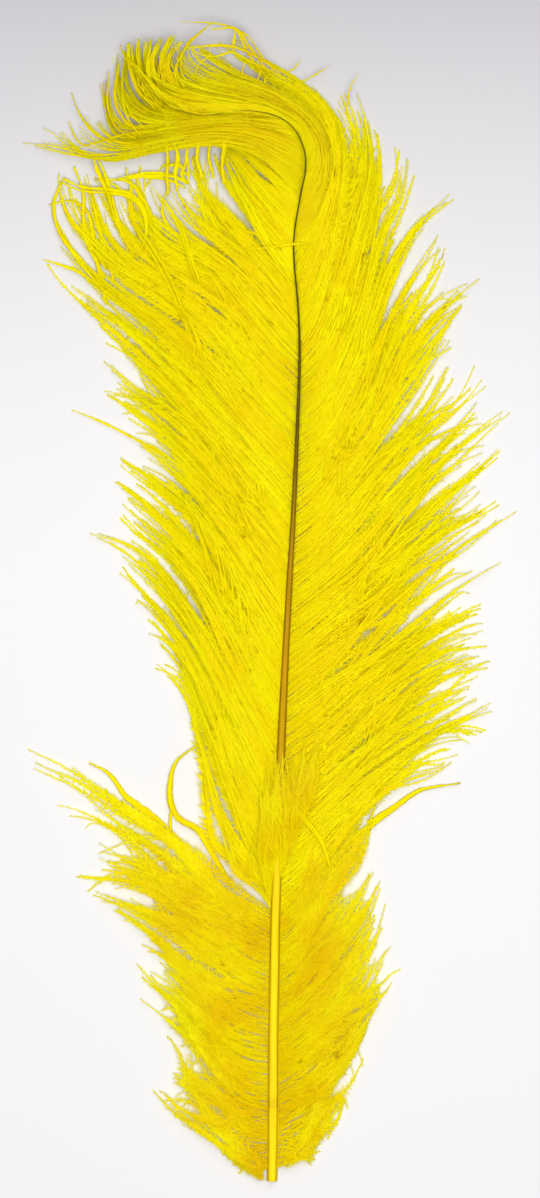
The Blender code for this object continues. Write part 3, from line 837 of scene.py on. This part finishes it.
def loose_barbs(rows, draw, wander):
    """Routes of barbs that lie apart, and the bundle that each is in.

    Barbs of a bundle wave by up to about wander around its middle, a little above it, and meet at
    its end.
    """
    routes = []
    group = []
    share = np.linspace(0, 1, BARB_POINTS)
    for i, (start, end, count, *points) in enumerate(rows):
        plan, _ = smooth_route(points, BARB_POINTS)
        middle = np.column_stack([plan, start + (end - start) * blend(share)])
        left = sideways(middle[None])[0]
        for _ in range(count):
            waves = draw.uniform(*LOOSE_WAVES, 2)
            begin = draw.uniform(0, 2 * np.pi, 2)
            offset = wander * draw.normal(0, 0.6, 2)
            swing = offset * np.sin(waves * np.pi * share[:, None] + begin)
            apart = (swing[:, :1] + offset[0]) * (1 - MEETING * share[:, None])
            barb = middle + left * apart
            barb[:, 2] += np.abs(swing[:, 1]) * 0.5
            routes.append(barb)
            group.append(i)
    return np.array(routes), np.array(group)


routes, group = loose_barbs(LEFT_LOOPS, draw, wander=1.0)
barbs_piece(
    "left_loop_barbs", routes, group, draw, core=0.5, comb=0.8, fluff=0.1, material=dyed_barbs
)

# Curled band and crown
# Where the quill hooks over, the barbs of its inner side sweep left in one smooth band, and those
# of its outer side arch over the hook and end in a ruffled tuft at the top left.

BAND = (
    (343, (4, 349), (-6, 358), (-20, 361), (-40, 359), (-56, 356), (-68, 361), (-80, 373)),
    (348, (3, 354), (-8, 361), (-23, 363), (-43, 360), (-57, 357), (-69, 358), (-86, 362)),
    (354, (3, 359), (-9, 364), (-25, 365), (-43, 362), (-54, 361), (-62, 366), (-70, 379)),
    (360, (2, 364), (-11, 367), (-26, 367), (-42, 364), (-53, 365), (-57, 373), (-58, 386)),
    (366, (0, 367), (-13, 369), (-27, 368), (-43, 366), (-53, 364), (-58, 372), (-58, 387)),
    (372, (-3, 370), (-15, 370), (-29, 369), (-42, 369), (-51, 373), (-54, 382), (-54, 393)),
    (379, (-9, 371), (-20, 370), (-33, 369), (-44, 372), (-51, 379), (-54, 387), (-54, 395)),
    (384, (-15, 371), (-26, 370), (-37, 371), (-45, 375), (-50, 382), (-51, 390), (-50, 398)),
    (389, (-20, 371), (-29, 371), (-37, 374), (-43, 379), (-47, 387), (-48, 397)),
    (399, (-29, 371), (-36, 374), (-41, 381), (-44, 388), (-44, 398)),
    (410, (-37, 375), (-40, 381), (-42, 388), (-40, 399)),
)
CROWN = (
    (325, (13, 333), (18, 344), (20, 355), (18, 366), (11, 374), (1, 381), (-10, 386), (-20, 392),
     (-28, 397)),
    (334, (14, 341), (18, 351), (18, 361), (13, 370), (3, 377), (-10, 382), (-22, 386),
     (-29, 392), (-27, 399)),
    (344, (16, 352), (17, 360), (13, 368), (4, 374), (-10, 379), (-23, 382), (-31, 387),
     (-33, 399)),
    (354, (15, 359), (12, 367), (3, 373), (-10, 377), (-24, 380), (-34, 385), (-37, 391),
     (-33, 400)),
    (363, (10, 367), (2, 372), (-10, 376), (-24, 379), (-35, 382), (-40, 389), (-38, 399)),
    (372, (0, 373), (-10, 375), (-23, 377), (-34, 380), (-42, 385), (-44, 391), (-43, 399)),
    (383, (-12, 374), (-23, 375), (-34, 377), (-42, 382), (-46, 389), (-47, 398)),
    (395, (-26, 374), (-36, 376), (-43, 381), (-47, 387), (-49, 396)),
    (407, (-36, 377), (-43, 381), (-47, 386), (-50, 394)),
    (418, (-44, 384), (-48, 387), (-51, 391), (-53, 396)),
)
# A darker copy of the barbs' colours: painted shade for the weaker light at the feather's top, on the
# band, the crown and its loops.
curled_barbs_in_painted_shade = dyed_down(
    "dyed_curled_barbs",
    bright=(0.97, 0.95, 0.0),
    deep=(0.93, 0.78, 0.0),
    tip=(0.94, 0.93, 0.01),
    clouds=0.25,
)
CURLED_BARB = dict(core=0.32, comb=1.5, fluff=0.15, material=curled_barbs_in_painted_shade)

draw = np.random.default_rng(14)
routes, group = grow_barbs(
    BAND, draw, arch=2.0, tips=(0.6, 3.0, 6.0), spacing=0.32, tuft=(1.5, 4.0), pull=0.5, short=0.25,
    sway=1.0, lift=1.0
)
barbs_piece("band_barbs", routes, group, draw, **CURLED_BARB)
draw = np.random.default_rng(15)
routes, group = grow_barbs(
    CROWN, draw, arch=3.5, tips=(8.0, 12.0), spacing=0.38, tuft=(1.5, 4.0), pull=0.5, short=0.15,
    sway=1.2, lift=1.2
)
barbs_piece("crown_barbs", routes, group, draw, **CURLED_BARB)

# Barbs that stand loose above the crown, open loops against the table, and those that spray out
# of the tuft and the band.
CROWN_LOOPS = (
    (12.0, 9.0, 1, (1, 386), (-4, 392), (-9, 399), (-18, 403), (-32, 404)),
    (12.0, 12.0, 2, (-1, 385), (-5, 391), (-9, 396), (-13, 401), (-21, 401)),
    (13.0, 14.0, 2, (4, 385), (-5, 391), (-13, 394.5), (-21, 395), (-30, 394)),
    (13.0, 14.0, 1, (0, 386), (-8, 390), (-14, 393), (-19, 391.5), (-25, 392), (-29, 395)),
    (13.0, 14.0, 1, (-27, 385), (-25, 389), (-22, 392), (-22, 395)),
    (12.0, 12.0, 2, (-9, 382), (-10.5, 385), (-9.5, 390)),
    (12.0, 12.0, 1, (-5, 382), (-4, 386), (-5, 390)),
    (12.0, 12.0, 1, (-1, 380), (-1.5, 384), (1, 388)),
    (12.0, 12.0, 2, (-13, 392), (-13.5, 396), (-13, 401)),
    (14.0, 15.0, 2, (-33, 390), (-28, 396), (-24, 400), (-20, 403)),
    (9.0, 5.0, 1, (8, 382), (13, 384.5), (20, 389)),
    (9.0, 8.0, 1, (26, 372), (27, 380), (30, 386)),
    (9.0, 8.0, 1, (4, 385), (8, 388), (10, 391)),
    (10.0, 3.0, 2, (-45, 361), (-56, 362), (-62, 365), (-67, 372), (-70, 380)),
    (10.0, 3.0, 2, (-40, 366), (-52, 365), (-62, 362.5), (-72, 360.5)),
    (8.0, 2.0, 1, (-50, 357), (-63, 358), (-75, 360.5), (-87, 362.5)),
    (8.0, 3.0, 1, (-62, 360), (-68, 363), (-71, 370)),
    (10.0, 6.0, 3, (-47, 363), (-54, 367), (-57, 375), (-57, 387)),
    (11.0, 7.0, 3, (-46, 365), (-52, 370), (-55, 378), (-53, 391)),
    (12.0, 9.0, 3, (-43, 366), (-49, 372), (-52, 381), (-51, 393)),
    (14.0, 16.0, 7, (-36, 376), (-40, 383), (-41, 390), (-38, 397)),
    (14.0, 16.0, 7, (-34, 377), (-38, 384), (-38, 391), (-35, 398)),
    (14.0, 16.0, 7, (-32, 378), (-36, 385), (-35, 391), (-31, 396)),
    (14.0, 16.0, 7, (-38, 374), (-44, 381), (-46, 389), (-46, 397)),
    (14.0, 16.0, 7, (-37, 375), (-42, 382), (-43, 389), (-42, 396)),
    (14.0, 16.0, 7, (-40, 373), (-46, 379), (-49, 387), (-50, 395)),
    (14.0, 16.0, 6, (-30, 380), (-33, 386), (-31, 392), (-28, 396)),
)
routes, group = loose_barbs(CROWN_LOOPS, draw, wander=1.2)
barbs_piece(
    "crown_loop_barbs", routes, group, draw, core=0.34, comb=0.8, fluff=0.15, material=curled_barbs_in_painted_shade
)

# Lower right barbs
# The same short, downy barbs at the right of the quill's base. They leave it at a flat angle and
# bend up, so that their matted locks point to the feather's top.

RIGHT_SKIRT = (
    (4, (4, 6), (7, 7.5), (11, 8.5), (17, 9)),
    (6, (5, 8), (9, 9.5), (13, 11), (19, 12)),
    (9, (7, 11), (13, 14), (18, 17.5), (23, 21), (28, 25)),
    (13, (8, 17), (15, 21.5), (21, 27), (27, 32), (32, 38)),
    (19, (8, 24), (15, 29), (22, 35.5), (28, 42.5), (33, 50.5)),
    (27, (9, 32), (17, 38), (25, 45), (32, 54), (37, 64.5)),
    (35, (9, 41), (19, 48), (29, 56), (38, 64.5), (46, 74)),
    (44, (9, 50), (19, 57), (29, 66), (37, 77), (44, 90)),
    (54, (9, 60), (19, 68), (28, 77.5), (36, 89), (42, 102)),
    (65, (9, 71), (18, 80), (26, 90), (33, 100), (39, 111)),
    (78, (9, 84), (17, 95), (24, 106), (31, 118), (37, 134)),
    (95, (10, 103), (18, 113), (26, 122), (33, 130), (42, 138)),
)
draw = np.random.default_rng(16)
routes, group = grow_barbs(RIGHT_SKIRT, draw, **SKIRT_LIE)
barbs_piece("right_skirt_barbs", routes, group, draw, **SKIRT_BARB)
routes, group = grow_barbs(RIGHT_SKIRT, draw, **SKIRT_UNDER_LIE)
barbs_piece("right_skirt_under_barbs", routes, group, draw, **SKIRT_UNDER_BARB)

# Cover barbs
# Down of both sides that leaves the quill almost along it and lies over it at the foot of the
# vanes, so that the quill shows there only in slivers.

COVER = (
    (92, (-4, 104), (-6, 117), (-6, 130), (-8, 144)),
    (96, (-1, 106), (-2.5, 119), (-2, 133), (-3, 149)),
    (100, (3, 109), (1, 122), (1.5, 137), (0, 152)),
    (104, (5, 113), (5, 127), (4, 141), (4, 155)),
    (109, (7, 118), (9, 131), (9, 145), (8, 159)),
    (114, (9, 123), (13, 136), (14, 150), (14, 163)),
)
draw = np.random.default_rng(18)
routes, group = grow_barbs(
    COVER, draw, arch=2.5, tips=(9.0,), spacing=0.28, tuft=(1.0, 3.0), pull=0.5, short=0.4,
    sway=1.6, lift=0.5
)
barbs_piece(
    "cover_barbs", routes, group, draw, core=0.26, comb=2.8, fluff=0.3, material=matted_down
)

# Locks that came loose beside the quill's foot and lie apart from the rest.
STRAYS = (
    (3.0, 1.2, 3, (18, 106), (27, 117), (36, 125), (44, 131), (52, 136.5), (66, 139)),
    (2.5, 2.5, 4, (-15, 104), (-20, 112), (-26, 122), (-33, 126.5), (-36, 134), (-34, 146), (-25, 153)),
    (2.0, 1.5, 2, (-33, 115), (-35.5, 123), (-35.5, 133)),
    (2.0, 1.0, 3, (-32, 118), (-42, 127), (-51, 134), (-57, 142), (-64, 146)),
    (2.0, 1.0, 2, (-34, 119), (-45, 126), (-53, 130), (-58, 137)),
    (8.0, 10.0, 2, (20, 110), (17, 120), (10, 129), (4, 136), (0.5, 141)),
    (6.0, 7.0, 2, (25, 224), (24, 233), (24, 244), (22, 257)),
    (8.6, 8.6, 1, (-9, 327.5), (0, 326.5), (8, 326.8), (15, 327.5)),
)
routes, group = loose_barbs(STRAYS, draw, wander=0.9)
barbs_piece(
    "stray_barbs", routes, group, draw, core=0.55, comb=1.4, fluff=0.25, material=dyed_barbs
)

# Upper right barbs
# The long vane at the right, the feather's fullest part, in locks that spread up and outward. As
# at the left, a few tufts have slipped and climb across the others.

RIGHT_VANE = (
    (95, (10, 103), (20, 115), (30, 128), (41, 138), (52, 145), (62, 149), (72, 152)),
    (103, (11, 111), (22, 124), (34, 136), (46, 147), (57, 156), (66, 157), (76, 154)),
    (112, (12, 120), (24, 132), (37, 143), (50, 152), (61, 158), (69, 162), (77, 166)),
    (120, (12, 127), (24, 138), (37, 149), (50, 158), (62, 165), (69, 168.5), (75.5, 171)),
    (128, (13, 136), (25, 146), (38, 156), (50, 165), (61, 172), (70, 176), (77, 179)),
    (137, (13, 145), (25, 155), (38, 166), (50, 175), (61, 180), (70, 183), (79.5, 186)),
    (145, (13, 152), (25, 162), (38, 173), (50, 181), (62, 188), (75, 192)),
    (152, (13, 159), (25, 169), (38, 180), (50, 189), (62, 196), (70, 200), (79, 203)),
    (161, (13, 168), (25, 178), (38, 189), (50, 198), (61, 206), (71, 211), (82, 215)),
    (172, (13, 179), (25, 189), (37, 199), (49, 209), (60, 218), (71, 226), (80, 231), (88, 236)),
    (183, (14, 190), (26, 200), (38, 210), (49, 219), (60, 227), (70, 233), (77, 240)),
    (192, (14, 199), (26, 209), (37, 219), (48, 229), (58, 238), (68, 245), (80, 255)),
    (204, (15, 211), (26, 221), (37, 231), (47, 241), (57, 250), (67, 258), (75, 264), (84, 270)),
    (214, (15, 221), (26, 231), (36, 242), (46, 253), (55, 264), (65, 274), (75, 287)),
    (224, (16, 231), (26, 242), (35, 254), (43, 267), (51, 279), (58, 292), (67, 307)),
    (234, (16, 241), (25, 253), (34, 266), (41, 280), (48, 293), (57, 305), (68, 314), (79, 320.5)),
    (244, (16, 251), (25, 263), (33, 277), (39, 291), (45, 304), (52, 317), (58, 330)),
    (255, (17, 262), (25, 275), (32, 290), (37, 305), (42, 319), (51, 333), (67, 346)),
    (266, (17, 273), (24, 286), (30, 301), (35, 317), (39, 332), (45, 345), (46, 364)),
    (276, (17, 283), (24, 297), (29, 312), (33, 328), (37, 344), (38, 358), (35, 370)),
    (286, (16, 294), (22, 308), (27, 323), (31, 339), (34, 354), (33, 368), (29, 385)),
    (296, (15, 305), (21, 319), (25, 333), (28, 348), (29, 361), (26, 372), (20, 383)),
    (306, (14, 315), (19, 328), (23, 342), (25, 355), (24, 367), (18, 377), (8, 386), (-4, 393),
     (-13, 400)),
    (316, (14, 325), (18, 337), (22, 349), (22, 361), (18, 371), (9, 380), (-2, 386), (-12, 393),
     (-22, 402)),
    (325, (13, 333), (18, 344), (20, 355), (18, 366), (11, 374), (1, 381), (-10, 386), (-20, 392),
     (-28, 397)),
)
draw = np.random.default_rng(17)
routes, group = grow_barbs(RIGHT_VANE, draw, tips=(0.6, 0.4, 2.0), **VANE_LIE)
barbs_piece("right_vane_barbs", routes, group, draw, **VANE_BARB)
routes, group = grow_barbs(RIGHT_VANE, draw, tips=(0.6, 0.4, 0.9), **VANE_UNDER_LIE)
barbs_piece("right_vane_under_barbs", routes, group, draw, **VANE_UNDER_BARB)
routes, group = climbing_barbs(
    RIGHT_VANE[1:20], draw, arch=3.0, tips=(0.6, 0.4, 2.0), tufts=20, in_each=4
)
barbs_piece("right_climbing_barbs", routes, group, draw, **CLIMBING_BARB)

# Studio
# A pale table under soft light from above and from beyond the feather's top, and a camera that
# looks straight down on it, as in the photograph.

PHOTO_SIZE = (540, 1198)  # pixels
PIXEL = 0.35 * MM  # on the table
PHOTO_CUT_END = (272, 1180)  # the cut end in the photograph, in pixels
CAMERA_HEIGHT = 1.3
SENSOR = 36.0
TABLE_REACH = 3.0  # from its middle to each side
# The grey towards the feather's top is painted shade, for the light that falls off there.
TABLE_WHITE = (0.515, 0.507, 0.513)
TABLE_PAINTED_SHADE = (0.345, 0.335, 0.352)
PAINTED_SHADE_FROM_MIDDLE = cad_box[1][1] + 0.01  # where the table is fully grey, just past the feather's top
ROOM_LIGHT = 0.4


def table():
    """A level table, white, and greyer towards the feather's top by the square of the way: painted
    shade.
    """
    r = TABLE_REACH
    mesh = bpy.data.meshes.new("table")
    mesh.from_pydata([(-r, -r, 0), (r, -r, 0), (r, r, 0), (-r, r, 0)], [], [(0, 1, 2, 3)])
    material, tree, shader, _ = new_material("white_table")
    place = Socket.of(tree, "ShaderNodeTexCoord", output=3)
    y = Socket.of(tree, "ShaderNodeSeparateXYZ", None, {0: place}, output=1)
    way = y.math("MAXIMUM", y, 0.0) * (1 / PAINTED_SHADE_FROM_MIDDLE)
    colour = (way * way).tint(TABLE_WHITE, TABLE_PAINTED_SHADE)
    tree.links.new(colour.link, shader.inputs["Base Color"])
    shader.inputs["Roughness"].default_value = 0.6
    shader.inputs["Specular IOR Level"].default_value = 0.2
    mesh.materials.append(material)
    made = bpy.data.objects.new("table", mesh)
    bpy.context.scene.collection.objects.link(made)


def area_light(name, place, aim, size, power):
    """A square light at a place, facing a point."""
    light = bpy.data.lights.new(name, "AREA")
    light.size = size
    light.energy = power
    made = bpy.data.objects.new(name, light)
    made.location = place
    made.rotation_euler = (mathutils.Vector(aim) - made.location).to_track_quat("-Z", "Y").to_euler()
    bpy.context.scene.collection.objects.link(made)


def camera():
    """Straight above the middle of the photograph, with the lens that frames it at this height."""
    data = bpy.data.cameras.new("camera")
    data.sensor_width = SENSOR
    data.lens = SENSOR * CAMERA_HEIGHT / (PHOTO_SIZE[1] * PIXEL)
    made = bpy.data.objects.new("camera", data)
    x = (PHOTO_SIZE[0] / 2 - PHOTO_CUT_END[0]) * PIXEL
    y = (PHOTO_CUT_END[1] - PHOTO_SIZE[1] / 2) * PIXEL
    made.location = (CUT_END[0] + x, CUT_END[1] + y, CAMERA_HEIGHT)
    bpy.context.scene.collection.objects.link(made)
    bpy.context.scene.camera = made


table()
area_light("overhead", place=(0.02, -0.08, 1.15), aim=(0.02, -0.08, 0), size=0.4, power=15.6)
area_light("key", place=(0.15, 0.5, 1.0), aim=(0, 0, 0), size=0.6, power=4.6)
camera()
world = bpy.data.worlds.new("studio")
world.use_nodes = True
world.node_tree.nodes["Background"].inputs["Color"].default_value = (1, 1, 1, 1)
world.node_tree.nodes["Background"].inputs["Strength"].default_value = ROOM_LIGHT
bpy.context.scene.world = world
bpy.context.scene.view_settings.view_transform = "Standard"
